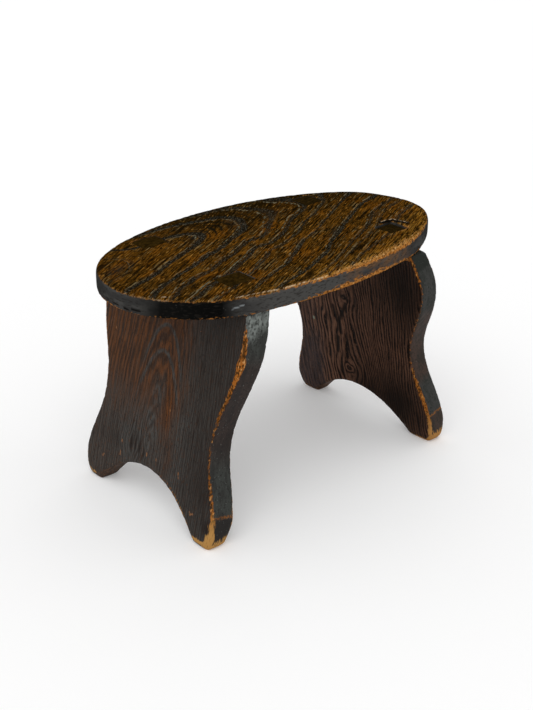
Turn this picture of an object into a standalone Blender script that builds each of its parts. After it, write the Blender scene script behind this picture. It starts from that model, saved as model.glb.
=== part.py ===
"""Country milking stool of three boards.

An oval plank seat stands on two shaped plank ends that lean outwards. Each end is one
sawn board: two tenons left on its top edge pass right through the seat, its sides are
cut to an ogee, and a round arch in its lower edge leaves two feet. The stool was sawn
and fitted by eye, so the two ends share one pattern but differ by a few millimetres.

Metres, +Z up. The origin lies on the floor, under the middle of the whole stool.
The seat's long axis runs along X.
"""

import math
from collections import namedtuple

import bmesh
import bpy
from mathutils import Matrix, Vector

# Seat: one oval plank
SEAT_LENGTH = 0.3805
SEAT_WIDTH = 0.2179
SEAT_THICKNESS = 0.0188
SEAT_FULLNESS = 2.19  # exponent of the oval: 2 is a true ellipse, more is squarer
SEAT_TOP_WEAR = 0.0022  # rounding of the sat-on arris
SEAT_UNDER_WEAR = 0.0012  # rounding of the lower arris
STOOL_HEIGHT = 0.2485  # floor to seat top
SEAT_STRAY = {  # bearing in degrees from +X: how far the sawn rim strays outside the oval
    -127: 0.0045,
    -105: -0.0010,
    -77: -0.0022,
    -46: 0.0000,
    -14: 0.0050,
    16: 0.0005,
    52: -0.0035,
    90: 0.0010,
    130: 0.0010,
    163: -0.0014,
    200: 0.0000,
}

# Ends: the pattern that both boards share
SHOULDER_DROP = 0.036  # the shoulder's widest point, below the seat's underside
HEEL_RADIUS = 0.0045  # rounding between the arch and the foot's sole
BOARD_WEAR = 0.0022  # rounding of the sawn arrises

# A pair in brackets below holds the back side's size, then the front side's

# Left end
LEFT_OVERHANG = 0.0800  # seat end to the board's outer face, at the seat's underside
LEFT_OFFSET = 0.0091  # the board's middle stands this far behind the seat's centre line
LEFT_THICKNESS = 0.0298  # measured level through the leaning board, at the seat's underside
LEFT_FOOT_THICKNESS = 0.0270  # the same, at the floor
LEFT_LEAN = math.radians(12.8)
LEFT_TURN = math.radians(-0.8)  # about the vertical
LEFT_TOP_HALF = (0.1007, 0.1033)  # half widths, at the seat's underside
LEFT_SHOULDER_HALF = (0.1068, 0.1083)
LEFT_WAIST_HALF = (0.0849, 0.0863)
LEFT_FOOT_HALF = (0.1012, 0.1078)
LEFT_WAIST_HEIGHT = (0.0990, 0.0970)  # above the floor
LEFT_FOOT_HEIGHT = (0.0270, 0.0150)  # the foot's widest point, above the floor
LEFT_TOE_RADIUS = (0.0090, 0.0062)  # rounding of the foot's outer lower corner
LEFT_ARCH_HALF = 0.0734  # measured along the floor
LEFT_ARCH_RISE = 0.0426
LEFT_ARCH_SHIFT = -0.0023  # crown of the arch behind the board's middle
LEFT_TENON_SPACING = 0.1275  # centre to centre
LEFT_TENON_CANT = (0.0025, 0.0)  # how far a tenon's end reaches out of the board's plane
LEFT_TENON_SUNK = (0.0, 0.0)  # how far a tenon's end stays below the seat's top

# Right end
RIGHT_OVERHANG = 0.0636
RIGHT_OFFSET = 0.0048
RIGHT_THICKNESS = 0.0245
RIGHT_FOOT_THICKNESS = 0.0249
RIGHT_LEAN = math.radians(11.9)
RIGHT_TURN = math.radians(1.8)
RIGHT_TOP_HALF = (0.1005, 0.0975)
RIGHT_SHOULDER_HALF = (0.1060, 0.1082)
RIGHT_WAIST_HALF = (0.0831, 0.0830)
RIGHT_FOOT_HALF = (0.1025, 0.1016)
RIGHT_WAIST_HEIGHT = (0.0940, 0.1070)
RIGHT_FOOT_HEIGHT = (0.0100, 0.0260)
RIGHT_TOE_RADIUS = (0.0085, 0.0090)
RIGHT_ARCH_HALF = 0.0682
RIGHT_ARCH_RISE = 0.0374
RIGHT_ARCH_SHIFT = 0.0040
RIGHT_TENON_SPACING = 0.1180
RIGHT_TENON_CANT = (0.0025, 0.0050)
RIGHT_TENON_SUNK = (0.0, 0.0020)

# Joints between the boards
TENON_WIDTH = 0.0235
JOINT_GAP = 0.0003  # clearance all round a tenon and under the seat

# Smoothness of the curves, in segments
OVAL_STEPS = 144
OGEE_STEPS = 16
SHOULDER_STEPS = 7
TOE_STEPS = 7
HEEL_STEPS = 4
ARCH_STEPS = 15
WEAR_STEPS = 3

# What the sizes above give
UNDERSIDE = STOOL_HEIGHT - SEAT_THICKNESS
SHOULDER_LINE = UNDERSIDE - JOINT_GAP  # top edge of a board, between its tenons
CUTTER_OVERRUN = 0.010  # how far a cutter runs past the seat's top
SAME = 0.00005  # two heights closer than this are the same

Board = namedtuple(
    "Board",
    "name side overhang offset thickness foot_thickness lean turn top shoulder waist foot "
    "waist_height foot_height toe arch_half arch_rise arch_shift spacing cant sunk",
)
LEFT = Board(
    "leg_left", -1.0, LEFT_OVERHANG, LEFT_OFFSET, LEFT_THICKNESS, LEFT_FOOT_THICKNESS,
    LEFT_LEAN, LEFT_TURN, LEFT_TOP_HALF, LEFT_SHOULDER_HALF, LEFT_WAIST_HALF, LEFT_FOOT_HALF,
    LEFT_WAIST_HEIGHT, LEFT_FOOT_HEIGHT, LEFT_TOE_RADIUS, LEFT_ARCH_HALF, LEFT_ARCH_RISE,
    LEFT_ARCH_SHIFT, LEFT_TENON_SPACING, LEFT_TENON_CANT, LEFT_TENON_SUNK,
)
RIGHT = Board(
    "leg_right", 1.0, RIGHT_OVERHANG, RIGHT_OFFSET, RIGHT_THICKNESS, RIGHT_FOOT_THICKNESS,
    RIGHT_LEAN, RIGHT_TURN, RIGHT_TOP_HALF, RIGHT_SHOULDER_HALF, RIGHT_WAIST_HALF,
    RIGHT_FOOT_HALF, RIGHT_WAIST_HEIGHT, RIGHT_FOOT_HEIGHT, RIGHT_TOE_RADIUS, RIGHT_ARCH_HALF,
    RIGHT_ARCH_RISE, RIGHT_ARCH_SHIFT, RIGHT_TENON_SPACING, RIGHT_TENON_CANT, RIGHT_TENON_SUNK,
)


def clear_scene():
    """Start from an empty scene."""
    for leftover in list(bpy.data.objects):
        bpy.data.objects.remove(leftover, do_unlink=True)


def wood(name, colour, roughness):
    """Make a plain wood material."""
    material = bpy.data.materials.new(name)
    material.use_nodes = True
    shader = material.node_tree.nodes["Principled BSDF"]
    shader.inputs["Base Color"].default_value = (*colour, 1.0)
    shader.inputs["Roughness"].default_value = roughness
    shader.inputs["Metallic"].default_value = 0.0
    return material


def add_object(name, bm, material=None):
    """Turn a bmesh into an object in the scene."""
    bmesh.ops.recalc_face_normals(bm, faces=bm.faces)
    mesh = bpy.data.meshes.new(name)
    bm.to_mesh(mesh)
    bm.free()
    mesh.shade_smooth()
    mesh.set_sharp_from_angle(angle=math.radians(28.0))
    if material:
        mesh.materials.append(material)
    thing = bpy.data.objects.new(name, mesh)
    bpy.context.scene.collection.objects.link(thing)
    return thing


def extrude_outline(bm, outline, start, travel):
    """Fill a closed outline of 3-D points at a start offset, and extrude it."""
    verts = [bm.verts.new(Vector(point) + start) for point in outline]
    cap = bm.faces.new(verts)
    grown = bmesh.ops.extrude_face_region(bm, geom=[cap])
    moved = [item for item in grown["geom"] if isinstance(item, bmesh.types.BMVert)]
    bmesh.ops.translate(bm, verts=moved, vec=travel)
    return verts + moved


def round_arrises(bm, edges, radius):
    """Wear the given edges round."""
    bmesh.ops.bevel(
        bm, geom=edges, offset=radius, segments=WEAR_STEPS, profile=0.5, affect="EDGES"
    )


def stray(bearing):
    """Distance of the sawn rim outside the true oval, eased between its known places."""
    places = sorted(SEAT_STRAY)
    places.append(places[0] + 360)
    bearing = places[0] + (bearing - places[0]) % 360.0
    for before, after in zip(places, places[1:]):
        if bearing <= after:
            break
    share = (bearing - before) / (after - before)
    ease = 0.5 - 0.5 * math.cos(math.pi * share)
    last = SEAT_STRAY[after] if after in SEAT_STRAY else SEAT_STRAY[places[0]]
    return SEAT_STRAY[before] + (last - SEAT_STRAY[before]) * ease


def seat_outline():
    """Rim of the seat: a slightly squared ellipse, cut by eye."""
    points = []
    for i in range(OVAL_STEPS):
        bearing = 2.0 * math.pi * i / OVAL_STEPS
        across = math.cos(bearing)
        along = math.sin(bearing)
        power = abs(across) ** SEAT_FULLNESS + abs(along) ** SEAT_FULLNESS
        reach = power ** (-1.0 / SEAT_FULLNESS)
        true = Vector((0.5 * SEAT_LENGTH * reach * across, 0.5 * SEAT_WIDTH * reach * along, 0.0))
        points.append(true * (1.0 + stray(math.degrees(bearing)) / true.length))
    return points


def ogee(start, end):
    """S curve between two (half width, height) points, upright at both of them."""
    points = []
    for i in range(1, OGEE_STEPS + 1):
        share = i / OGEE_STEPS
        blend = 0.5 - 0.5 * math.cos(math.pi * share)
        points.append((start[0] + (end[0] - start[0]) * blend, start[1] + (end[1] - start[1]) * share))
    return points


def arc(centre, radius, start, end, steps):
    """Points of a round arc, without its first point."""
    points = []
    for i in range(1, steps + 1):
        angle = start + (end - start) * i / steps
        points.append((centre[0] + radius * math.cos(angle), centre[1] + radius * math.sin(angle)))
    return points


def half_outline(board, back):
    """One side of a board, from its top edge out, down and in to the arch's crown."""
    tenon_in = 0.5 * (board.spacing - TENON_WIDTH)
    tenon_out = 0.5 * (board.spacing + TENON_WIDTH)
    side = 0 if back else 1
    top_half = board.top[side]
    shoulder = (board.shoulder[side], UNDERSIDE - SHOULDER_DROP)
    waist = (board.waist[side], board.waist_height[side])
    foot = (board.foot[side], board.foot_height[side])
    toe = board.toe[side]
    tenon_top = STOOL_HEIGHT - board.sunk[side]
    shift = board.arch_shift if back else -board.arch_shift

    points = [
        (tenon_in, SHOULDER_LINE),
        (tenon_in, tenon_top),
        (tenon_out, tenon_top),
        (tenon_out, SHOULDER_LINE),
        (top_half, SHOULDER_LINE),
    ]
    for i in range(1, SHOULDER_STEPS + 1):
        share = i / SHOULDER_STEPS
        half = top_half + (shoulder[0] - top_half) * math.sin(0.5 * math.pi * share)
        points.append((half, SHOULDER_LINE + (shoulder[1] - SHOULDER_LINE) * share))
    points += ogee(shoulder, waist)
    points += ogee(waist, foot)

    # toe: a round corner, from the foot's side to its sole
    points.append((foot[0], toe))
    points += arc((foot[0] - toe, toe), toe, 0.0, -0.5 * math.pi, TOE_STEPS)

    # heel: a fillet that touches both the sole's line and the arch's circle
    arch_radius = (board.arch_half ** 2 + board.arch_rise ** 2) / (2.0 * board.arch_rise)
    arch_centre = (shift, board.arch_rise - arch_radius)
    reach = arch_radius + HEEL_RADIUS
    climb = HEEL_RADIUS - arch_centre[1]
    heel_centre = (shift + math.sqrt(reach ** 2 - climb ** 2), HEEL_RADIUS)
    touch = math.atan2(climb, heel_centre[0] - shift)
    points.append((heel_centre[0], 0.0))
    points += arc(heel_centre, HEEL_RADIUS, -0.5 * math.pi, touch - math.pi, HEEL_STEPS)
    points += arc(arch_centre, arch_radius, touch, 0.5 * math.pi, ARCH_STEPS)
    return points


def board_outline(board):
    """The whole outline of a board, in its own upright plane."""
    back = half_outline(board, True)
    front = [(-across, height) for across, height in half_outline(board, False)]
    front.pop()
    return [(0.0, across, height) for across, height in back + front[::-1]]


def set_up(bm, board):
    """Taper an upright board, lean it, cant its tenons, turn it and put it in its place."""
    taper = 1.0 - board.foot_thickness / board.thickness
    for vert in bm.verts:
        drop = UNDERSIDE - vert.co.z
        rise = max(vert.co.z - SHOULDER_LINE, 0.0)
        cant = board.cant[0 if vert.co.y > 0.0 else 1]
        vert.co.x *= 1.0 - taper * drop / UNDERSIDE
        vert.co.x += board.side * math.tan(board.lean) * drop
        vert.co.x += board.side * cant * rise / (STOOL_HEIGHT - SHOULDER_LINE)
    place = Vector((board.side * (0.5 * SEAT_LENGTH - board.overhang), board.offset, 0.0))
    bm.transform(Matrix.Translation(place) @ Matrix.Rotation(board.turn, 4, "Z"))


def is_sawn_arris(edge):
    """Whether an edge runs along a board's outline, below its tenons and top edge."""
    first, last = (vert.co for vert in edge.verts)
    if abs(first.x - last.x) > SAME or max(first.z, last.z) > SHOULDER_LINE + SAME:
        return False
    return min(first.z, last.z) < SHOULDER_LINE - SAME


def make_board(board, material):
    """One end of the stool: outline, thickness, worn arrises, then the lean."""
    bm = bmesh.new()
    inner_face = Vector((-board.side * board.thickness, 0.0, 0.0))
    extrude_outline(bm, board_outline(board), inner_face, -inner_face)
    round_arrises(bm, [edge for edge in bm.edges if is_sawn_arris(edge)], BOARD_WEAR)
    set_up(bm, board)
    return add_object(board.name, bm, material)


def make_mortise_cutter(board):
    """Two slanted prisms, a clearance larger than the tenons that they make room for."""
    bm = bmesh.new()
    half_width = 0.5 * TENON_WIDTH + JOINT_GAP
    top = STOOL_HEIGHT + CUTTER_OVERRUN
    for sign in (-1.0, 1.0):
        middle = sign * 0.5 * board.spacing
        outline = [
            (0.0, middle - half_width, SHOULDER_LINE),
            (0.0, middle + half_width, SHOULDER_LINE),
            (0.0, middle + half_width, top),
            (0.0, middle - half_width, top),
        ]
        start = Vector((-board.side * (board.thickness + JOINT_GAP), 0.0, 0.0))
        travel = Vector((board.side * (board.thickness + 2.0 * JOINT_GAP), 0.0, 0.0))
        extrude_outline(bm, outline, start, travel)
    set_up(bm, board)
    cutter = add_object(board.name + "_mortises", bm)
    cutter.hide_render = True
    cutter.display_type = "WIRE"
    return cutter


def make_seat(cutters, material):
    """The oval plank, its worn rim, and the four through mortises."""
    bm = bmesh.new()
    lift = Vector((0.0, 0.0, UNDERSIDE))
    extrude_outline(bm, seat_outline(), lift, Vector((0.0, 0.0, SEAT_THICKNESS)))
    for height, wear in ((STOOL_HEIGHT, SEAT_TOP_WEAR), (UNDERSIDE, SEAT_UNDER_WEAR)):
        rim = [e for e in bm.edges if all(abs(v.co.z - height) < SAME for v in e.verts)]
        round_arrises(bm, rim, wear)
    seat = add_object("seat", bm, material)
    for cutter in cutters:
        cut = seat.modifiers.new(cutter.name, "BOOLEAN")
        cut.operation = "DIFFERENCE"
        cut.solver = "EXACT"
        cut.object = cutter
    return seat


def carry_to_origin(things, followers):
    """Parent everything to one empty that puts the origin under the stool's middle."""
    corners = [vert.co for thing in things for vert in thing.data.vertices]
    middle_x = 0.5 * (min(co.x for co in corners) + max(co.x for co in corners))
    middle_y = 0.5 * (min(co.y for co in corners) + max(co.y for co in corners))
    stool = bpy.data.objects.new("stool", None)
    bpy.context.scene.collection.objects.link(stool)
    stool.location = (-middle_x, -middle_y, 0.0)
    for thing in things + followers:
        thing.parent = stool


clear_scene()
golden_elm = wood("seat_elm", (0.115, 0.060, 0.022), 0.45)
dark_elm = wood("end_elm", (0.030, 0.016, 0.011), 0.50)
ends = [make_board(board, dark_elm) for board in (LEFT, RIGHT)]
mortises = [make_mortise_cutter(board) for board in (LEFT, RIGHT)]
carry_to_origin([make_seat(mortises, golden_elm)] + ends, mortises)
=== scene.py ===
"""Looks of a country milking stool: an oval elm seat on two dark, splayed elm ends."""

import math

import bmesh
import bpy
import numpy as np
from mathutils import Euler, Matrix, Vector, kdtree


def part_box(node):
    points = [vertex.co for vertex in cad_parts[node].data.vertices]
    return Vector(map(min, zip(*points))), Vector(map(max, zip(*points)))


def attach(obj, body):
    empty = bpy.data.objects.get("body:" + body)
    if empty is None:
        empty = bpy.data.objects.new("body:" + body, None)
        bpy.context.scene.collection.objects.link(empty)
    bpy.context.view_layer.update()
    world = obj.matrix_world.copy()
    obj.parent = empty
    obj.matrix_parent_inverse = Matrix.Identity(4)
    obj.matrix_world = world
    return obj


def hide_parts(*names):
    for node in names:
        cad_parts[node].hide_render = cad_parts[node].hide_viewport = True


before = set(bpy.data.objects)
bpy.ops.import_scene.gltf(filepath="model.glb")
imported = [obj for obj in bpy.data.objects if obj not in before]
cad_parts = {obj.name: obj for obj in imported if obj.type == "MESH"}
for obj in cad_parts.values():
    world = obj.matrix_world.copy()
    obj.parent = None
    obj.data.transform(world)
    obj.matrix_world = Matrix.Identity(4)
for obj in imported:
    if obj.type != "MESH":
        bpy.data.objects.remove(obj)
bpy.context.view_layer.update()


# ---- Seat -----------------------------------------------------------------------------
# One elm plank, sawn oval with the grain running slantwise, and mortised for four tenons.
# Its top was waxed and sat on until it shone golden brown, its rim turned black with
# handling, and its front arris is rubbed through to raw orange wood.

# how a century of use rubbed a sawn board, in metres
RUB_PASSES = 7  # more passes rub an arris rounder
RUB_PATCH = 0.034  # size of the stretches that were rubbed more or less than the rest
RUB_DEPTH = (0.00008, 0.0007)  # less than the first is on a face, more than the second on an arris
JOINT_GAP = (0.0008, 0.004)  # no wear this near to the board beside it, and full wear beyond
DENT = 0.0005  # depth of the dents along an arris
DENT_PITCH = 190.0  # dents in a metre
FOOT_PASSES = 110  # the feet were dragged and kicked far rounder
FOOT_HEIGHT = 0.028  # and the wear ends this far above the floor

SMOOTH = {"interpolation_type": "SMOOTHSTEP"}  # a map that eases in and out
TIMES = {"operation": "MULTIPLY"}


def add_node(tree, kind, settings=None, links=None):
    """Add one node: settings are properties or input values, and links are what comes in.

    A link is an output socket, or a node that stands for its first output. Inputs go by name
    or number: a mix has its factor at 0, vectors at 4 and 5 and colours at 6 and 7, and a map
    range turns 1 and 2 into 3 and 4.
    """
    node = tree.nodes.new(kind)
    for key, value in (settings or {}).items():
        if isinstance(key, str) and hasattr(node, key):
            setattr(node, key, value)
        else:
            node.inputs[key].default_value = value
    for key, source in (links or {}).items():
        output = source.outputs[0] if isinstance(source, bpy.types.Node) else source
        tree.links.new(output, node.inputs[key])
    return node


def rubbing_tree():
    """Geometry nodes that rub the arrises of an evenly meshed board."""
    tree = bpy.data.node_groups.new("rubbed arrises", "GeometryNodeTree")
    kinds = {
        "Geometry": "Geometry", "Passes": "Int", "Foot passes": "Int", "Foot height": "Float",
        "Patch size": "Float", "Dent depth": "Float", "Board beside it": "Object",
        "Other board": "Object", "Wood": "Material",
    }
    inputs = {}
    for said, kind in kinds.items():
        socket = tree.interface.new_socket(said, in_out="INPUT", socket_type="NodeSocket" + kind)
        inputs[said] = socket.identifier
    tree.interface.new_socket("Geometry", in_out="OUTPUT", socket_type="NodeSocketGeometry")
    board = tree.nodes.new("NodeGroupInput")

    place = add_node(tree, "GeometryNodeInputPosition")
    normal = add_node(tree, "GeometryNodeInputNormal")
    blurred = add_node(
        tree, "GeometryNodeBlurAttribute", {"data_type": "FLOAT_VECTOR"},
        {"Value": place, "Iterations": board.outputs["Passes"]},
    )
    rub = add_node(tree, "ShaderNodeVectorMath", {"operation": "SUBTRACT"}, {0: blurred, 1: place})
    depth = add_node(tree, "ShaderNodeVectorMath", {"operation": "LENGTH"}, {0: rub})
    arris = add_node(
        tree, "ShaderNodeMapRange", {**SMOOTH, 1: RUB_DEPTH[0], 2: RUB_DEPTH[1]},
        {0: depth.outputs["Value"]},
    )

    # the joints keep their arrises, because the board beside them covers them
    boards = add_node(tree, "GeometryNodeJoinGeometry")
    for said in ("Board beside it", "Other board"):
        beside = add_node(tree, "GeometryNodeObjectInfo", {}, {"Object": board.outputs[said]})
        tree.links.new(beside.outputs["Geometry"], boards.inputs[0])
    joint = add_node(tree, "GeometryNodeProximity", {"target_element": "FACES"}, {0: boards})
    clear = add_node(
        tree, "ShaderNodeMapRange", {**SMOOTH, 1: JOINT_GAP[0], 2: JOINT_GAP[1]},
        {0: joint.outputs["Distance"]},
    )

    frequency = add_node(
        tree, "ShaderNodeMath", {"operation": "DIVIDE", 0: 1.0}, {1: board.outputs["Patch size"]}
    )
    patches = add_node(
        tree, "ShaderNodeTexNoise", {"Detail": 2.0}, {"Vector": place, "Scale": frequency}
    )
    uneven = add_node(tree, "ShaderNodeMapRange", {1: 0.35, 2: 0.65, 3: 0.55, 4: 1.35}, {0: patches})
    amount = add_node(tree, "ShaderNodeMath", TIMES, {0: uneven, 1: clear})
    rubbed = add_node(tree, "ShaderNodeVectorMath", {"operation": "SCALE"}, {0: rub, "Scale": amount})

    knocks = add_node(
        tree, "ShaderNodeTexNoise", {"Scale": DENT_PITCH, "Detail": 1.0}, {"Vector": place}
    )
    knocked = add_node(tree, "ShaderNodeMapRange", {**SMOOTH, 1: 0.50, 2: 0.70}, {0: knocks})
    inwards = knocked
    for share in (arris, clear, board.outputs["Dent depth"]):
        inwards = add_node(tree, "ShaderNodeMath", TIMES, {0: inwards, 1: share})
    dents = add_node(
        tree, "ShaderNodeVectorMath", {"operation": "SCALE"}, {0: normal, "Scale": inwards}
    )
    shift = add_node(tree, "ShaderNodeVectorMath", {"operation": "SUBTRACT"}, {0: rubbed, 1: dents})

    # a foot wears round in plan, and its sole stays flat on the floor
    dragged = add_node(
        tree, "GeometryNodeBlurAttribute", {"data_type": "FLOAT_VECTOR"},
        {"Value": place, "Iterations": board.outputs["Foot passes"]},
    )
    drag = add_node(tree, "ShaderNodeVectorMath", {"operation": "SUBTRACT"}, {0: dragged, 1: place})
    level_drag = add_node(tree, "ShaderNodeVectorMath", {**TIMES, 1: (1.0, 1.0, 0.0)}, {0: drag})
    above = add_node(tree, "ShaderNodeSeparateXYZ", {}, {0: place})
    foot = add_node(
        tree, "ShaderNodeMapRange", {**SMOOTH, 3: 1.0, 4: 0.0},
        {0: above.outputs[2], 2: board.outputs["Foot height"]},
    )
    wear = add_node(
        tree, "ShaderNodeMix", {"data_type": "VECTOR"}, {0: foot, 4: shift, 5: level_drag}
    )
    moved = add_node(
        tree, "GeometryNodeSetPosition", {},
        {"Geometry": board.outputs["Geometry"], "Offset": wear.outputs[1]},
    )
    real = add_node(tree, "GeometryNodeRealizeInstances", {}, {"Geometry": moved})
    finish = add_node(
        tree, "GeometryNodeSetMaterial", {}, {"Geometry": real, "Material": board.outputs["Wood"]}
    )
    out = tree.nodes.new("NodeGroupOutput")
    tree.links.new(finish.outputs[0], out.inputs[0])
    return tree, inputs


rubbing, rubbing_inputs = rubbing_tree()


def worn_board(name, node, beside, mesh_step, wood):
    """Mesh a CAD board evenly and rub its arrises. Gives a plain mesh object."""
    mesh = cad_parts[node].data.copy()
    bm = bmesh.new()
    bm.from_mesh(mesh)
    bmesh.ops.remove_doubles(bm, verts=bm.verts, dist=0.000002)
    bm.to_mesh(mesh)
    bm.free()
    blank = bpy.data.objects.new(name + "_blank", mesh)
    bpy.context.scene.collection.objects.link(blank)
    even = blank.modifiers.new("even mesh", "REMESH")
    even.mode = "VOXEL"
    even.voxel_size = mesh_step
    rub = blank.modifiers.new("rubbed arrises", "NODES")
    rub.node_group = rubbing
    sizes = {
        "Passes": RUB_PASSES, "Foot passes": FOOT_PASSES, "Foot height": FOOT_HEIGHT,
        "Patch size": RUB_PATCH, "Dent depth": DENT, "Wood": wood,
        "Board beside it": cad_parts[beside[0]], "Other board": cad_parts[beside[-1]],
    }
    for said, size in sizes.items():
        rub[rubbing_inputs[said]] = size
    bpy.context.view_layer.update()
    evaluated = blank.evaluated_get(bpy.context.evaluated_depsgraph_get())
    worn = bpy.data.meshes.new_from_object(evaluated)
    worn.name = name
    board = bpy.data.objects.new(name, worn)
    bpy.context.scene.collection.objects.link(board)
    bpy.data.objects.remove(blank, do_unlink=True)
    worn.materials.clear()
    worn.materials.append(wood)
    worn.polygons.foreach_set("material_index", np.zeros(len(worn.polygons), np.int32))
    worn.shade_smooth()
    return board


def read_vectors(items, what):
    """A vector, such as the place or the way it faces, of each vertex or face."""
    vectors = np.empty(len(items) * 3, np.float32)
    items.foreach_get(what, vectors)
    return vectors.reshape(-1, 3)


def places_of(board):
    """Where a board's vertices are, in millimetres."""
    return read_vectors(board.data.vertices, "co").astype(float) * 1000.0


def mark(board, **marks):
    """Store marks of a number, or three, on each vertex, for the wood's finish to read."""
    for name, values in marks.items():
        kind, said = ("FLOAT_VECTOR", "vector") if values.ndim == 2 else ("FLOAT", "value")
        attribute = board.data.attributes.new(name, kind, "POINT")
        attribute.data.foreach_set(said, values.astype(np.float32).ravel())


def ease(values, low, high):
    """Zero below low, one above high, and smooth between."""
    part = np.clip((values - low) / (high - low), 0.0, 1.0)
    return part * part * (3.0 - 2.0 * part)


SKIN = 3.5  # a vertex this near to a face may be on it, and deeper is on the sawn edge
ARRIS_ROUND = 0.8  # how far the worn arris stays from the sharp one it was


def to_arris(flat, depth, thickness, outline):
    """How far each vertex is from the two arrises round a board, over its surface, in mm.

    Flat is the vertex seen square onto the board, and depth how far it is behind the first
    face. Outline is true for vertices near the board's outline. Also gives the place on the
    outline that each vertex is nearest to.
    """
    sawn = np.flatnonzero((depth > SKIN) & (depth < thickness - SKIN) & outline)
    tree = kdtree.KDTree(len(sawn))
    for number, index in enumerate(sawn):
        tree.insert((flat[index, 0], flat[index, 1], 0.0), number)
    tree.balance()
    inside = np.zeros(len(flat))
    nearest = np.array(flat)
    for index in np.flatnonzero((depth <= SKIN) | (depth >= thickness - SKIN)):
        found, number, gap = tree.find((flat[index, 0], flat[index, 1], 0.0))
        inside[index] = gap
        nearest[index] = found[:2]
    first = np.hypot(inside, np.maximum(depth, 0.0)) - ARRIS_ROUND
    second = np.hypot(inside, np.maximum(thickness - depth, 0.0)) - ARRIS_ROUND
    return np.maximum(first, 0.0), np.maximum(second, 0.0), nearest


def sink(board, hollow):
    """Lower a board's surface by so many millimetres at each vertex."""
    places = places_of(board) - read_vectors(board.data.vertices, "normal") * hollow[:, None]
    board.data.vertices.foreach_set("co", (places / 1000.0).astype(np.float32).ravel())
    board.data.update()


def spots(flat, ovals):
    """Soft ovals on a board, each as (across, down, half width, half height, strength)."""
    total = np.zeros(len(flat))
    for across, down, wide, high, strength in ovals:
        reach = ((flat[:, 0] - across) / wide) ** 2 + ((flat[:, 1] - down) / high) ** 2
        total = np.maximum(total, strength * np.exp(-reach))
    return total


def scratches(places, lines):
    """Thin marks on a board, each as (start, end, half width), all in mm."""
    total = np.zeros(len(places))
    for start, end, wide in lines:
        start = np.array(start, float)
        run = np.array(end, float) - start
        part = np.clip((places - start) @ run / max(run @ run, 1e-6), 0.0, 1.0)
        gap = np.linalg.norm(places - start - part[:, None] * run, axis=1)
        total = np.maximum(total, 1.0 - ease(gap, 0.5 * wide, 1.4 * wide))
    return total


def linear(colour):
    """An sRGB hex colour as the linear one that a shader takes."""
    parts = [int(colour[i:i + 2], 16) / 255.0 for i in (1, 3, 5)]
    return [p / 12.92 if p <= 0.04045 else ((p + 0.055) / 1.055) ** 2.4 for p in parts] + [1.0]


def new_finish(name, specular):
    """A material with its shader, and the tree that the coats go in."""
    finish = bpy.data.materials.new(name)
    finish.use_nodes = True
    shader = finish.node_tree.nodes["Principled BSDF"]
    shader.inputs["Specular IOR Level"].default_value = specular
    return finish, finish.node_tree, shader


def read_marks(tree, names):
    """The marks stored on a board, and its places across, along and through the grain."""
    marks = {}
    for name in names:
        marks[name] = add_node(tree, "ShaderNodeAttribute", {"attribute_name": name}).outputs["Fac"]
    grain = add_node(tree, "ShaderNodeAttribute", {"attribute_name": "grain"}).outputs["Vector"]
    return marks, grain


def streaks(grain, size, low, high, seed, strength=1.0, detail=2.0):
    """A mask of streaks in the wood: size is across, along and through the grain, in mm."""
    tree = grain.id_data
    scaled = add_node(tree, "ShaderNodeVectorMath", {"operation": "DIVIDE", 1: size}, {0: grain})
    noise = add_node(
        tree, "ShaderNodeTexNoise",
        {"noise_dimensions": "4D", "W": seed, "Scale": 1.0, "Detail": detail},
        {"Vector": scaled},
    )
    mask = add_node(tree, "ShaderNodeMapRange", {**SMOOTH, 1: low, 2: high, 4: strength}, {0: noise})
    return mask


def lay_coats(tree, paints, ground, coats):
    """Lay coats over a ground. Each is (paint, masks...) and lies where all its masks do."""
    below = {}
    for paint, cover, *others in coats:
        for other in others:
            cover = add_node(tree, "ShaderNodeMath", TIMES, {0: cover, 1: other})
        coat = add_node(
            tree, "ShaderNodeMix",
            {"data_type": "RGBA", 6: linear(paints[ground]), 7: linear(paints[paint])},
            {0: cover, **below},
        )
        below = {6: coat.outputs[2]}
    return coat.outputs[2]


def rubbed_through(wear, grain, size, ragged, fade):
    """Where the wood is rubbed bare: the wear marked on it, ragged along the grain, in mm."""
    tree = wear.id_data
    uneven = add_node(
        tree, "ShaderNodeMapRange", {3: -ragged, 4: ragged},
        {0: streaks(grain, size, 0.25, 0.75, 17.0, detail=3.0)},
    )
    total = add_node(tree, "ShaderNodeMath", {"operation": "ADD"}, {0: wear, 1: uneven})
    worn = add_node(tree, "ShaderNodeMapRange", {**SMOOTH, 1: -0.4, 2: fade}, {0: total})
    return worn


PORE_DEPTH = 0.00015  # how deep the open grain looks, in metres


def show_finish(tree, shader, colour, open_grain, relief, dull, polish):
    """Give the shader its colour, the open grain sunk by the relief, and its polish."""
    sunk = add_node(
        tree, "ShaderNodeBump", {"invert": True, "Strength": 0.7, "Distance": relief},
        {"Height": open_grain},
    )
    rough = add_node(tree, "ShaderNodeMapRange", {3: polish[0], 4: polish[1]}, {0: dull})
    tree.links.new(colour, shader.inputs["Base Color"])
    tree.links.new(rough.outputs[0], shader.inputs["Roughness"])
    tree.links.new(sunk.outputs[0], shader.inputs["Normal"])


SEAT_MESH = 0.0013  # step of the even mesh, in metres
GRAIN_SLANT = math.radians(27.5)
SEAT_DEEP = 18.8  # the plank's thickness, in mm
SEAT_HALF = (191.0, 107.0)  # half its length and width
RIM_SQUASH = 0.56  # the oval's width over its length, so that bearings run evenly round it
RIM_DEEP = 6.0  # raw wood from the top arris stops this far down the rim
BAND_DEPTH = 0.3  # how far the open-pored bands have sunk, in mm

low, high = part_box("seat")
SEAT_TOP = high[2] * 1000.0

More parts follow.
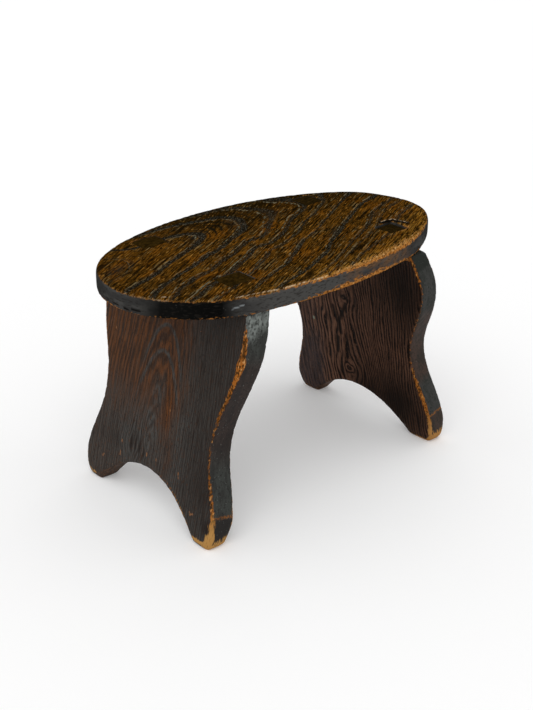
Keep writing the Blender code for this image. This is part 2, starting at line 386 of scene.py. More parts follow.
# the bold growth rings as they cross the top: ring level, then points along it in mm
SEAT_GRAIN = {
    -34: [(-165, 32)],
    -16: [(-140, 26), (-160, 12), (-100, 42), (-135, 50)],
    0: [(-176, -12), (-156, -7), (-134, 3), (-98, 21), (-73, 32), (-53, 44), (-47, 51), (-55, 60),
        (-76, 64), (-108, 62)],
    12: [(-150, -17), (-120, -3), (-26, 50), (-22, 60), (-45, 73), (-80, 77), (-120, 74)],
    22: [(-155, -28), (-127, -16), (-97, -5), (-78, 4), (-46, 15), (-19, 29), (0, 42), (7, 55),
        (8, 66), (2, 75), (-34, 84), (-80, 88)],
    34: [(-146, -42), (-120, -33), (-78, -16), (-20, 10), (24, 32), (40, 44), (46, 56), (46, 66),
        (38, 82), (-10, 97)],
    42: [(-141, -66), (-108, -50), (-83, -42), (-50, -25), (-9, -12), (41, 17), (74, 36), (91, 46),
        (94, 60), (80, 78)],
    52: [(-86, -60), (-50, -42), (-17, -22), (24, -11), (60, 14), (102, 36), (118, 45), (124, 60)],
    68: [(-90, -87), (-35, -63), (-1, -41), (24, -25), (66, -6), (87, 6), (120, 26), (160, 47)],
    88: [(-82, -101), (-35, -87), (18, -64), (51, -40), (85, -18), (119, 1), (146, 15)],
    104: [(59, -59), (103, -37), (132, -15), (163, -2)],
    120: [(35, -90), (84, -72), (112, -58), (149, -33), (175, -24)],
}
# level, width and strength of each ring's open-pored band
SEAT_RINGS = [
    (-21, 1.6, 0.4), (0, 3.8, 1), (22, 3.2, 1), (34, 1.8, 0.8), (42, 2.2, 0.9), (53, 1.7, 0.85),
    (68, 1.9, 0.9), (88, 2.7, 1), (104, 1.5, 0.8), (111, 1, 0.6), (122, 1.8, 0.8),
]
# the thinner rings that only open where the grain turns over
CREST_RINGS = [
    (6.5, 0.8, 0.8), (10.5, 1, 0.9), (14, 0.6, 0.8), (17.5, 0.8, 0.8), (28, 0.8, 0.7),
    (31, 0.6, 0.6), (38, 0.7, 0.6), (48, 0.8, 0.6),
]
# where a ring's pores open into a wide patch, and a dark knot at the left: across and along
# the grain, half width across and along it, in mm, and strength
SEAT_PATCHES = [
    (69, -24, 6, 8, 1), (67, -13, 6, 5, 0.9), (38, 18, 3.5, 9, 1), (46, 26, 5, 7, 1),
    (55, 31, 5, 5, 0.8), (22, 57, 4, 7, 0.5), (-57, 40, 4, 14, 1), (-36, -14, 3.5, 9, 0.8),
    (-33, 4, 3, 9, 0.7), (-80, 103, 2.5, 16, 0.7), (100, -131, 7, 15, 0.95),
    (42, -140, 5, 12, 0.45),
]
# a rubbed golden spot by the front left mortise, and where the rings turn over, on the top
GOLD_SPOT = [(-103, -21, 14, 5, 0.8)]
CREST_SPOT = [(-8, 58, 62, 24, 1.6)]
# how far the raw wood reaches from the top arris, in mm, by bearing round the rim: 0 is the
# right end and -90 the front
RIM_WEAR = {
    -180: 0.6, -165: 1.1, -140: 1.3, -125: 1.6, -112: 2.8, -95: 4, -80: 6, -62: 6, -50: 3, -30: 0.9,
    0: 0.2, 60: 0, 150: 0.2, 180: 0.4,
}
# the same for the bottom arris
UNDER_WEAR = {
    -180: 0.6, -130: 0.5, -118: 0.3, -108: 1, -100: 3, -92: 5, -80: 5.4, -70: 3.2, -60: 1.3, 0: 0.4,
    120: 0.4, 180: 0.9,
}
# thin cream lines where the top arris is freshly rubbed, as (start, end, half width)
RIM_LINES = [
    ((-189, -27, 248), (-183, -41, 248), 0.8), ((-179, -48, 248), (-172, -59, 248), 0.7),
    ((-122, -94, 248), (-101, -99, 248), 0.6), ((-101, -99, 248), (-81, -104, 248), 0.7),
    ((-75, -105, 248), (-48, -108, 248), 0.7), ((-40, -109, 248), (-28, -110, 248), 0.6),
    ((119, -40.5, 248.5), (134, -42.5, 248.5), 0.5), ((134, -42.5, 248.5), (138, -61, 248.5), 0.5),
    ((-171, -50, 248), (-168, -52, 248), 0.9),
]
# a pale scrape on the rim, three dark slots, and painted shade on the seat top along the walls of one
# mortise
RIM_SCRAPES = [((-127, -95, 239), (-117, -99, 241.5), 0.6)]
RIM_SLOTS_AND_MORTISE_SHADE = [
    ((-192, -4, 234), (-192, -13, 235), 0.8), ((-191, -20, 234), (-190, -25, 233.5), 1),
    ((-189, -29, 235), (-186, -37, 235), 1.1), ((118, -43, 248), (132, -45, 248), 3.2),
    ((132, -45, 248), (136, -61, 248), 3.2),
]
# how much of the rim's black, from handling, shows through its painted sheen, by bearing: these black
# and grey stretches are painted reflections
RIM_BLACK_WITHOUT_SHEEN = {
    -180: 0.15, -163: 0.25, -151: 0.95, -130: 1, -122: 0.1, -60: 0.1, -40: 0.3, 0: 0.5, 90: 0.5,
    150: 0.5, 180: 0.15,
}


def by_table(table, values):
    """Read a table of places and amounts between its entries."""
    return np.interp(values, list(table), list(table.values()))


def thin_plate(points, levels, places):
    """A smooth field through the levels given at a few points."""
    points = np.array(points, float)
    count = len(points)

    def bend(gap):
        return np.where(gap > 0.0, gap * gap * np.log(np.maximum(gap, 1e-9)), 0.0)

    gaps = np.linalg.norm(points[:, None] - points[None], axis=2)
    system = np.zeros((count + 3, count + 3))
    system[:count, :count] = bend(gaps) + np.eye(count) * 60.0
    system[:count, count] = 1.0
    system[:count, count + 1:] = points
    system[count:, :count] = system[:count, count:].T
    weights = np.linalg.solve(system, np.concatenate([levels, np.zeros(3)]))
    field = weights[count] + places @ weights[count + 1:]
    for point, weight in zip(points, weights):
        field = field + weight * bend(np.linalg.norm(places - point, axis=1))
    return field


def growth_rings(ring, rings):
    """Masks of the open-pored bands in the wood, and of the pale line that starts each."""
    tree = ring.id_data
    masks = None
    for level, width, strength in rings:
        start = add_node(
            tree, "ShaderNodeMapRange", {**SMOOTH, 1: level - 0.5, 2: level + 0.5, 4: strength},
            {0: ring},
        )
        end = add_node(
            tree, "ShaderNodeMapRange",
            {**SMOOTH, 1: level + width, 2: level + width + 0.9, 3: 1.0, 4: 0.0}, {0: ring},
        )
        band = add_node(tree, "ShaderNodeMath", TIMES, {0: start, 1: end})
        line = add_node(
            tree, "ShaderNodeMath", {"operation": "COMPARE", 1: level - 0.9, 2: 0.32}, {0: ring}
        )
        pair = [band, add_node(tree, "ShaderNodeMath", {**TIMES, 1: strength}, {0: line})]
        for number, mask in enumerate(masks or ()):
            pair[number] = add_node(
                tree, "ShaderNodeMath", {"operation": "MAXIMUM"}, {0: mask, 1: pair[number]}
            )
        masks = pair
    return masks


# waxed elm, planed and polished by use: golden brown flecked with gold and black. Elm's
# vessels are 0.2 to 0.3 mm wide, and are drawn 1 mm wide so that they show
SEAT_PAINTS = {
    "honey": "#50330b", "brown stretch": "#3a290d", "amber stretch": "#70420b", "fibre": "#7f5116",
    "gold fibre": "#956a26", "fine pore": "#0f0a02", "yearly pore": "#191103",
    "back grime": "#171104", "bright fibre": "#b5853f", "vessel lip": "#7d6b46",
    "vessel": "#0f0b04", "open band": "#181610", "wide band": "#22201a", "crest band": "#16130b",
    "dust in band": "#57554a", "ring edge": "#75715c", "pore": "#0a0702", "raw": "#a5743a",
    "raw light": "#dcb680", "raw pore": "#2a1a08",
}
# sawn elm, blackened by hands, with raw orange wood at both arrises; its slate greys are painted sheen,
# the white surround's reflection laid over the black as colour
RIM_PAINTS = {
    "slate": "#3b3a39", "brighter slate sheen": "#4b4a48", "warm slate": "#644d3a", "grime": "#0b0b0a",
    "smear": "#221f1c", "dust": "#55524e", "raw": "#a2682f", "raw pore": "#3a2412",
    "raw light": "#d69c58", "slot": "#0a0908", "scrape": "#7c8082", "fresh": "#c9b294",
}
SEAT_MARKS = (
    "ring", "bare", "side", "grime", "warm", "lip", "scrape", "slot", "back", "gold", "patch",
    "crest", "grey",
)


def seat_finish(name, specular):
    """Waxed elm: golden brown with black pores, and raw orange wood where it is rubbed."""
    finish, tree, shader = new_finish(name, specular)
    marks, grain = read_marks(tree, SEAT_MARKS)
    along = add_node(tree, "ShaderNodeSeparateXYZ", {}, {0: grain}).outputs[1]
    wander = add_node(
        tree, "ShaderNodeMapRange", {3: -0.8, 4: 0.8}, {0: streaks(grain, (4, 12, 9), 0, 1, 3)}
    )
    ragged = add_node(tree, "ShaderNodeMath", {"operation": "ADD"}, {0: marks["ring"], 1: wander})
    bands, pale = growth_rings(ragged, SEAT_RINGS)
    crests = growth_rings(ragged, CREST_RINGS)[0]
    contour = add_node(tree, "ShaderNodeCombineXYZ", {}, {0: marks["ring"], 1: along})
    fine = streaks(grain, (1.15, 17, 8), 0.50, 0.58, 5, 0.85)
    yearly = streaks(contour, (1.8, 110, 30), 0.50, 0.62, 6, detail=1)
    pores = streaks(grain, (1, 3, 4), 0.40, 0.60, 11)
    dashes = streaks(grain, (1.2, 10, 4), 0.56, 0.62, 9, 0.95)
    # long open vessels run dead straight, each a black line with a pale lip
    drift = streaks(grain, (3.4, 240, 60), 0, 1, 26, detail=0)
    vessel = add_node(tree, "ShaderNodeMath", {"operation": "COMPARE", 1: 0.5, 2: 0.07}, {0: drift})
    lip = add_node(tree, "ShaderNodeMath", {"operation": "COMPARE", 1: 0.63, 2: 0.05}, {0: drift})
    broken = streaks(grain, (12, 30, 20), 0.44, 0.58, 28, 0.85)
    worn = rubbed_through(marks["bare"], grain, (1.6, 8, 5), 4.0, 4.5)
    top = lay_coats(tree, SEAT_PAINTS, "honey", [
        ("brown stretch", streaks(grain, (24, 60, 30), 0.42, 0.66, 1, 0.6)),
        ("amber stretch", streaks(grain, (30, 40, 30), 0.48, 0.64, 2, 0.6)),
        ("fibre", streaks(grain, (1.4, 18, 8), 0.50, 0.62, 4, 0.65)),
        ("gold fibre", marks["gold"], streaks(grain, (1.4, 14, 6), 0.42, 0.60, 7.5, 0.8)),
        ("fine pore", fine),
        ("yearly pore", yearly, pores),
        # the top is darker towards the back
        ("back grime", marks["back"]),
        ("bright fibre", streaks(grain, (1.1, 11, 6), 0.60, 0.68, 7, 0.65)),
        ("vessel lip", lip, broken, streaks(grain, (4, 9, 9), 0.40, 0.60, 29, 0.7)),
        ("vessel", vessel, broken),
        ("open band", bands, streaks(grain, (1.6, 3.5, 4), 0.26, 0.46, 14, 0.95)),
        ("wide band", marks["patch"],
         streaks(grain, (2.2, 5, 4), 0.32, 0.52, 14, 0.95)),
        ("crest band", crests, marks["crest"],
         streaks(grain, (1.6, 2.4, 4), 0.34, 0.50, 14.5)),
        ("dust in band", bands, streaks(grain, (1.3, 2.6, 4), 0.54, 0.62, 15, 0.75)),
        ("ring edge", pale, streaks(grain, (3, 9, 10), 0.42, 0.58, 8, 0.75)),
        ("pore", dashes),
        ("raw", worn),
        ("raw light", worn, streaks(grain, (1.5, 5, 4), 0.54, 0.66, 12, 0.75)),
        ("raw pore", worn, streaks(grain, (1.2, 3, 4), 0.52, 0.60, 13, 0.85)),
    ])
    rubbed_rim = rubbed_through(marks["bare"], grain, (3, 6, 2), 2.6, 1.8)
    # the rim's slate ground and its brighter greys are painted sheen over the real black
    rim = lay_coats(tree, RIM_PAINTS, "slate", [
        ("brighter slate sheen", streaks(grain, (20, 30, 9), 0.45, 0.62, 21)),
        ("brighter slate sheen", marks["grey"]),
        ("warm slate", marks["warm"], streaks(grain, (12, 12, 7), 0.30, 0.60, 24)),
        # where the painted sheen gives way, the rim's real black shows
        ("grime", marks["grime"]),
        ("smear", streaks(grain, (5, 5, 1.6), 0.52, 0.66, 23, 0.6)),
        ("dust", streaks(grain, (3, 3, 1.8), 0.66, 0.76, 22, 0.25)),
        ("raw", rubbed_rim),
        ("raw pore", rubbed_rim, streaks(grain, (1.8, 2.6, 1.8), 0.50, 0.58, 27, 0.8)),
        ("raw light", rubbed_rim, streaks(grain, (3, 3, 1.5), 0.54, 0.66, 12, 0.6)),
    ])
    colour = add_node(
        tree, "ShaderNodeMix", {"data_type": "RGBA"}, {0: marks["side"], 6: top, 7: rim}
    )
    fresh = add_node(
        tree, "ShaderNodeMath", TIMES,
        {0: marks["lip"], 1: streaks(grain, (2, 5, 4), 0.34, 0.56, 25, 0.75)},
    )
    cuts = {"slot": marks["slot"], "scrape": marks["scrape"], "fresh": fresh}
    for paint, cut in cuts.items():
        colour = add_node(
            tree, "ShaderNodeMix", {"data_type": "RGBA", 7: linear(RIM_PAINTS[paint])},
            {0: cut, 6: colour.outputs[2]},
        )
    open_grain = add_node(tree, "ShaderNodeMath", {"operation": "MAXIMUM"}, {0: dashes, 1: fine})
    show_finish(tree, shader, colour.outputs[2], open_grain, PORE_DEPTH, worn, (0.42, 0.8))
    return finish


seat = worn_board(
    "seat_plank", "seat", ["leg_left", "leg_right"], SEAT_MESH, seat_finish("waxed elm", 0.0)
)
where = places_of(seat)
flat = where[:, :2]
depth = SEAT_TOP - where[:, 2]
fibre = np.array([math.cos(GRAIN_SLANT), math.sin(GRAIN_SLANT)])
cross = np.array([-math.sin(GRAIN_SLANT), math.cos(GRAIN_SLANT)])
level_points = [point for points in SEAT_GRAIN.values() for point in points]
levels = [level for level, points in SEAT_GRAIN.items() for point in points]
ring = thin_plate(level_points, levels, flat)
near_rim = np.hypot(flat[:, 0] / SEAT_HALF[0], flat[:, 1] / SEAT_HALF[1]) > 0.9
first, second, nearest = to_arris(flat, depth, SEAT_DEEP, near_rim)
bearing = np.degrees(np.arctan2(nearest[:, 1] / RIM_SQUASH, nearest[:, 0]))
facing = read_vectors(seat.data.vertices, "normal")
side = 1.0 - ease(np.abs(facing[:, 2]), 0.55, 0.8)
top_wear = by_table(RIM_WEAR, bearing) - first - 0.8 * np.minimum(depth, RIM_DEEP) * side
bare = np.maximum(top_wear, by_table(UNDER_WEAR, bearing) - second)
gold = ease(-first, -26.0, -4.0) * ease(bearing, -125.0, -95.0) * (1.0 - ease(bearing, -30.0, 0.0))
by_grain = np.stack([flat @ cross, flat @ fibre], 1)
mark(
    seat, ring=ring, grain=np.column_stack([by_grain, depth]), bare=np.maximum(bare, -8.0),
    side=1.0 - ease(facing[:, 2], 0.55, 0.8),
    grime=by_table(RIM_BLACK_WITHOUT_SHEEN, bearing),
    warm=ease(bearing, -94.0, -84.0) * (1.0 - ease(bearing, -66.0, -58.0)),
    # a stretch of the rim painted with a brighter sheen
    grey=ease(bearing, -124.0, -114.0) * (1.0 - ease(bearing, -94.0, -84.0)),
    # the top is darker towards the back
    back=0.9 * ease(flat[:, 1] + 0.25 * flat[:, 0], 28.0, 106.0),
    gold=np.maximum(gold, spots(flat, GOLD_SPOT)),
    crest=spots(flat, CREST_SPOT),
    patch=spots(by_grain, SEAT_PATCHES),
    lip=scratches(where, RIM_LINES),
    scrape=scratches(where, RIM_SCRAPES),
    # dark slots on the rim, and painted shade along one mortise's walls
    slot=scratches(where, RIM_SLOTS_AND_MORTISE_SHADE),
)
# the open-pored bands have sunk between the hard ones
sunk_bands = np.zeros(len(ring))
for level, width, strength in SEAT_RINGS:
    band = ease(ring, level - 1.0, level + 0.5) * (1.0 - ease(ring, level + width, level + width + 2.5))
    sunk_bands = np.maximum(sunk_bands, strength * band)
sink(seat, BAND_DEPTH * sunk_bands * ease(facing[:, 2], 0.8, 0.98) * ease(first, 1.0, 5.0))
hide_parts("seat")
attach(seat, "root")


# ---- Left end -------------------------------------------------------------------------
# A waisted elm board that splays outwards, with two tenons driven up through the seat. It
# was stained red-brown, then bloomed slate grey with damp, and kicks have rubbed its front
# arris and its toes down to raw blond wood.

END_MESH = 0.00118  # step of the even mesh, in metres
END_DOWN = 254.0  # seat top to floor, measured down a board, in mm
SHOULDER = 20.0  # above this a board is only its tenons
ARCH_HALF = 80.0  # the arch between the feet is within this of its middle
ARCH_DOWN = 200.0  # and below this
LINE_DEPTH = 0.2  # how far the growth lines have sunk
TENON_DEEP = 4.0  # the tenons' tops are within this of the seat top


def along_board(where, top_x, lean, turn, side):
    """Places as across, down and through an end board, from the face that meets the eye."""
    lean = math.radians(lean)
    turn = math.radians(turn)
    x = where[:, 0] * math.cos(turn) + where[:, 1] * math.sin(turn) - top_x
    y = where[:, 1] * math.cos(turn) - where[:, 0] * math.sin(turn)
    z = where[:, 2] - SEAT_TOP
    down = side * x * math.sin(lean) - z * math.cos(lean)
    through = x * math.cos(lean) + side * z * math.sin(lean)
    return y, down, through


def read_end(board, lay, thicks, arch_middle, arch_wear, front_wear, back_wear):
    """Where an end's vertices are, how far from its arrises, and how rubbed those are."""
    where = places_of(board)
    across, down, through = along_board(where, *lay)
    thick = thicks[0] + (thicks[1] - thicks[0]) * down / END_DOWN
    flat = np.stack([across, down], 1)
    first, second, nearest = to_arris(flat, through, thick, down > SHOULDER)
    in_arch = (np.abs(nearest[:, 0] - arch_middle) < ARCH_HALF) & (nearest[:, 1] > ARCH_DOWN)
    side_wear = np.where(
        nearest[:, 0] < 0.0, by_table(front_wear, nearest[:, 1]), by_table(back_wear, nearest[:, 1])
    )
    wear = np.where(in_arch, by_table(arch_wear, nearest[:, 0]), side_wear)
    sawn = (first > 0.4) & (through > 1.0) & (through < thick - 1.0)
    return across, down, through, where[:, 2], first, second, nearest[:, 0], in_arch, wear, sawn


def swerve(across, down, knots):
    """How far the growth lines give way to the knots in a board."""
    shift = np.zeros(len(across))
    for knot_across, knot_down, amount, wide, high in knots:
        reach = np.exp(-(((down - knot_down) / high) ** 2))
        aside = across - knot_across
        shift -= amount * np.tanh(aside / wide) * reach * np.exp(-((aside / 26.0) ** 2))
    return shift


def damp_foot(across, down, in_arch, tide, fade, strength):
    """Marks of the front foot's dark end, below the damp's tide, and of the tide's line."""
    on_edge = ease(-across, 84.0, 92.0)
    line = on_edge * (1.0 - ease(np.abs(down - tide), 0.6, 1.8))
    foot = strength * ease(down, tide, tide + fade) * on_edge
    return foot, np.maximum(line, 0.25 * in_arch * ease(across, 20.0, 50.0))


def sink_lines(board, ring, pitch, first, sawn):
    """Sink the soft half of each year's growth in the faces, clear of the arrises."""
    lines = 0.5 - 0.5 * np.sin(2.0 * math.pi * ring / pitch)
    sink(board, LINE_DEPTH * lines * ease(first, 2.0, 6.0) * (1.0 - sawn))


def ring_lines(ring, grain, pitch, low, high, seed, strength=1.0):
    """A mask of one line to each year's ring, which wanders a little along the board."""
    tree = ring.id_data
    wander = add_node(
        tree, "ShaderNodeMapRange", {3: -3.2, 4: 3.2},
        {0: streaks(grain, (pitch * 1.9, 50, 30), 0.25, 0.75, seed)},
    )
    turn = add_node(
        tree, "ShaderNodeMath", {"operation": "MULTIPLY_ADD", 1: 2.0 * math.pi / pitch},
        {0: ring, 2: wander},
    )
    wave = add_node(tree, "ShaderNodeMath", {"operation": "SINE"}, {0: turn})
    mask = add_node(tree, "ShaderNodeMapRange", {**SMOOTH, 1: low, 2: high, 4: strength}, {0: wave})
    return mask


END_MARKS = (
    "ring", "bare", "toe", "hollow", "blond", "edge", "bloom", "rust", "shade", "pale", "brown",
    "grown", "foot", "tide", "nick",
)
END_SPECULAR = 0.04  # the stain is nearly matt


def end_finish(name, paints, pitch, dark_lines):
    """Stained elm: lines of growth down the board, damp bloom, and raw wood where rubbed."""
    finish, tree, shader = new_finish(name, END_SPECULAR)
    marks, grain = read_marks(tree, END_MARKS)
    rubbed = rubbed_through(marks["bare"], grain, (1.8, 3.6, 1.8), 0.9, 0.7)
    stubbed = rubbed_through(marks["toe"], grain, (1.6, 9, 1.6), 5.0, 4.0)
    worn = add_node(tree, "ShaderNodeMath", {"operation": "MAXIMUM"}, {0: rubbed, 1: stubbed})
    years = ring_lines(marks["ring"], grain, pitch, 0.1, -0.8, 32.0, dark_lines)
    fine = streaks(grain, (1.4, 24, 8), 0.52, 0.62, 34, 0.7)
    patchy = streaks(grain, (7, 40, 20), 0.26, 0.50, 38)
    face = lay_coats(tree, paints, "ground", [
        ("blush", marks["rust"], streaks(grain, (7, 40, 20), 0.30, 0.60, 39)),
        ("rust", marks["rust"], patchy,
         ring_lines(marks["ring"], grain, pitch, 0.2, 1.0, 32.0, 0.75)),
        ("light", marks["grown"], streaks(grain, (1.7, 26, 10), 0.52, 0.66, 33, 0.6)),
        ("dark", years, marks["grown"], patchy),
        ("bloom", marks["bloom"], streaks(grain, (6, 30, 10), 0.16, 0.52, 31)),
        ("slate", marks["bloom"],
         ring_lines(marks["ring"], grain, 0.6 * pitch, 0.1, 0.9, 47.0, 0.34)),
        ("light", streaks(grain, (1.6, 3, 4), 0.57, 0.68, 37, 0.5)),
        ("pore", marks["bloom"],
         ring_lines(marks["ring"], grain, 0.6 * pitch, -0.1, -0.9, 47.0, 0.34)),
        ("blush", streaks(grain, (1.7, 6, 5), 0.57, 0.68, 48, 0.6)),
        ("dark", fine, streaks(grain, (9, 60, 20), 0.30, 0.60, 40)),
        ("dark", marks["shade"]),
        ("pore", streaks(grain, (1.3, 3.4, 4), 0.57, 0.66, 35, 0.6)),
        ("fleck", streaks(grain, (2.6, 3, 2.6), 0.745, 0.765, 36, 0.9)),
    ])
    sawn = lay_coats(tree, paints, "sawn", [
        ("sawn brown", marks["brown"]),
        ("sawn dark", marks["foot"], streaks(grain, (5, 6, 5), 0.25, 0.4, 45)),
        ("tide line", marks["tide"], streaks(grain, (2.4, 2, 2.4), 0.40, 0.52, 46)),
        ("sawn light", marks["pale"], streaks(grain, (2.4, 4, 2.4), 0.28, 0.56, 42)),
        ("sawn dark", streaks(grain, (9, 18, 6), 0.44, 0.62, 41, 0.5)),
        ("sawn dark", marks["shade"]),
        ("sawn dark", streaks(grain, (1.8, 2.6, 1.8), 0.54, 0.64, 43, 0.7)),
        ("sawn light", streaks(grain, (1.6, 2.6, 1.6), 0.64, 0.72, 44, 0.4)),
    ])
    bare = lay_coats(tree, paints, "bare", [
        ("bare dark", streaks(grain, (1.8, 3.4, 1.8), 0.49, 0.56, 61, 0.9)),
        ("bare light", streaks(grain, (1.6, 5, 1.6), 0.56, 0.68, 62, 0.7)),
        ("blond", marks["blond"]),
        ("bare dark", streaks(grain, (1.4, 12, 1.4), 0.58, 0.70, 63, 0.5)),
        ("bare dark", marks["hollow"]),
    ])
    boards = add_node(
        tree, "ShaderNodeMix", {"data_type": "RGBA"}, {0: marks["edge"], 6: face, 7: sawn}
    )
    rubbed_boards = add_node(
        tree, "ShaderNodeMix", {"data_type": "RGBA"}, {0: worn, 6: boards.outputs[2], 7: bare}
    )
    colour = add_node(
        tree, "ShaderNodeMix", {"data_type": "RGBA", 7: linear(paints["nick"])},
        {0: marks["nick"], 6: rubbed_boards.outputs[2]},
    )
    open_grain = add_node(tree, "ShaderNodeMath", {"operation": "MAXIMUM"}, {0: years, 1: fine})
    show_finish(tree, shader, colour.outputs[2], open_grain, PORE_DEPTH, worn, (0.5, 0.8))
    return finish


END_PORE_DEPTH = 0.0002  # pores cut across are deeper, in metres


def tenon_finish(name, paints):
    """Waxed end grain: the tenon's top, darker than the seat and dotted with open pores."""
    finish, tree, shader = new_finish(name, 0.0)
    grain = read_marks(tree, ())[1]
    pores = streaks(grain, (1, 1, 1), 0.60, 0.66, 53, 0.7)
    stain = streaks(grain, (2.4, 3, 6), 0.44, 0.60, 51, 0.8)
    colour = lay_coats(tree, paints, "ground", [
        ("dark", stain),
        ("light", streaks(grain, (1.4, 3, 5), 0.56, 0.66, 52, 0.7)),
        ("pore", pores),
    ])
    show_finish(tree, shader, colour, pores, END_PORE_DEPTH, stain, (0.5, 0.7))
    return finish


def finish_tenons(board, finish):
    """Give the tenon tops their own finish."""
    board.data.materials.append(finish)
    middles = read_vectors(board.data.polygons, "center")
    on_top = middles[:, 2] * 1000.0 > SEAT_TOP - TENON_DEEP
    board.data.polygons.foreach_set("material_index", on_top.astype(np.int32))


LEFT_LAY = (-108.2, 12.8, -0.8, -1.0)  # x at the seat top, lean and turn in degrees, and side
LEFT_THICK = (29.3, 26.3)  # at the top and at the foot, in mm
LEFT_PITCH = 5.0  # from one growth line to the next
LEFT_ARCH = 4.0  # the arch's middle, across the board
# half width of the rubbed strip along each arris, in mm: the front and back ones by distance
# down the board, the arch's by distance across it, and the far face's down it
LEFT_FRONT_WEAR = {
    18: -0.4, 26: 0.2, 32: 1, 42: 2.6, 58: 3, 66: 5, 72: 3.6, 80: 2, 95: 1.4, 110: 0.9, 150: 0.8,
    175: 1.1, 190: 1.6, 205: 1.8, 213: 1.8, 219: 2, 251: 2.4, 253: 0,
}
LEFT_BACK_WEAR = {18: 0, 60: 0.2, 85: 0.6, 140: 0.7, 165: 0.3, 200: 0.2, 225: 0.6, 245: 1.2}
LEFT_ARCH_WEAR = {-75: 0.2, -60: 0, -20: -0.5, 0: -1, 30: -1, 60: -0.6, 80: -0.2}
LEFT_FAR_WEAR = {0: 0.4, 190: 0.7, 210: 1.6, 255: 2.2}
# how far the raw wood streaks up and in from the front arris of the foot
LEFT_TONGUE = {205: -6, 216: 1, 224: 3.4, 232: 4, 242: 6.5, 252: 9}
# across, down, how far the lines swerve, and the knot's half width and half height, in mm
LEFT_KNOTS = [(30, 197, 4, 5, 12)]
# two rings crest on the face as grey arcs, this far down
LEFT_CRESTS = (62.0, 88.0)
# dark stains, damp bloom and dry red patches: across, down, half width and height, strength
LEFT_STAINS = [
    (33, 194, 1.9, 11, 1.3), (26, 194, 1.7, 10, 1.3), (19, 195, 1.7, 10, 1.2), (12, 199, 1.4, 6, 1),
    (-96, 232, 9, 9, 1), (62, 200, 16, 16, 0.4), (-84, 196, 20, 30, 0.18),
]
LEFT_BLOOMS = [
    (3, 129, 9, 12, 0.8), (10, 159, 7, 8, 0.7), (0.5, 172, 5, 6, 0.6), (28, 196, 22, 18, 0.8),
]
LEFT_DRY = [(-15, 152, 9, 28, 0.45), (-27, 186, 9, 26, 0.5)]
# pale nicks, as (start, end, half width), each place across, down and through the board
LEFT_NICKS = [
    ((7, 196, 0), (7, 199, 0), 0.5), ((-9, 196, 0), (-9, 198, 0), 0.5),
    ((-44, 196, 0), (-45, 201, 0), 0.5), ((74, 224, 0), (76, 227, 0), 0.5),
    ((84, 90, 0), (84, 91, 0), 0.6), ((-18, 141, 0), (-18, 142, 0), 0.6),
    ((48, 198, 0), (48, 200, 0), 0.5), ((48, 210, 0), (48, 214, 0), 0.5),
    ((-74, 226, 0), (-70, 228, 0), 0.6), ((-70, 229, 0), (-69, 226, 0), 0.4),
    ((-93, 222, 2), (-95, 222, 24), 0.5),
]
# red-brown water stain on planed elm, dulled to slate grey by damp. Sawn edges took more
# of it and dried grey, and rubbed wood shows orange, or blond where the floor scoured it
LEFT_PAINTS = {
    "ground": "#3b2a20", "blush": "#523015", "rust": "#663c1e", "light": "#553f31",
    "dark": "#211915", "bloom": "#3e3b38", "slate": "#555654", "pore": "#161210",
    "fleck": "#a8683c", "nick": "#8a5e3c", "sawn": "#3c3e3b", "sawn brown": "#372f2c",
    "sawn dark": "#272524", "sawn light": "#7c817d", "tide line": "#8a5626", "bare": "#975a22",
    "bare dark": "#35230f", "bare light": "#d8a468", "blond": "#b0844a",
}

left_end = worn_board(
    "left_end", "leg_left", ["seat"], END_MESH,
    end_finish("stained elm, bloomed grey", LEFT_PAINTS, LEFT_PITCH, 0.6),
)
across, down, through, height, first, second, arris_across, in_arch, wear, sawn = read_end(
    left_end, LEFT_LAY, LEFT_THICK, LEFT_ARCH, LEFT_ARCH_WEAR, LEFT_FRONT_WEAR, LEFT_BACK_WEAR
)
places = np.stack([across, down, through], 1)
flat = places[:, :2]
bare = np.maximum(wear - first, by_table(LEFT_FAR_WEAR, down) - second)
pith = np.maximum(30.0 - 0.21 * (down - 60.0), 3.0)
ring = np.hypot(across - 5.0, pith + through) + swerve(across, down, LEFT_KNOTS)
# the toes are scoured, most on the front edge, and raw wood streaks up its arris
toe = -1.4 - 1.0 * ease(across, 60.0, 85.0)
toe = toe + 12.5 * ease(-across, 90.0, 97.0) * ease(through, 1.0, 5.0)
tongue = 1.8 * (by_table(LEFT_TONGUE, down) - first - np.maximum(arris_across + 98.0, 0.0))
tongue = np.where((arris_across < 0.0) & ~in_arch, tongue, -20.0)
hollow = 0.85 * ease(bare, 1.0, 2.0) * ease(down, 30.0, 36.0) * (1.0 - ease(down, 56.0, 62.0))
hollow = hollow + 0.4 * ease(down, 88.0, 105.0) * (1.0 - ease(down, 195.0, 210.0))
arcs = np.zeros(len(down))
for crest in LEFT_CRESTS:
    slope = 0.1 * (across - 4.0)
    gap = np.abs(down - crest - 0.5 * slope * (across - 4.0)) / np.hypot(1.0, slope)
    arcs = np.maximum(arcs, 1.0 - ease(gap, 1.0, 2.8))
arcs = arcs * (1.0 - ease(np.abs(across - 4.0), 26.0, 36.0))
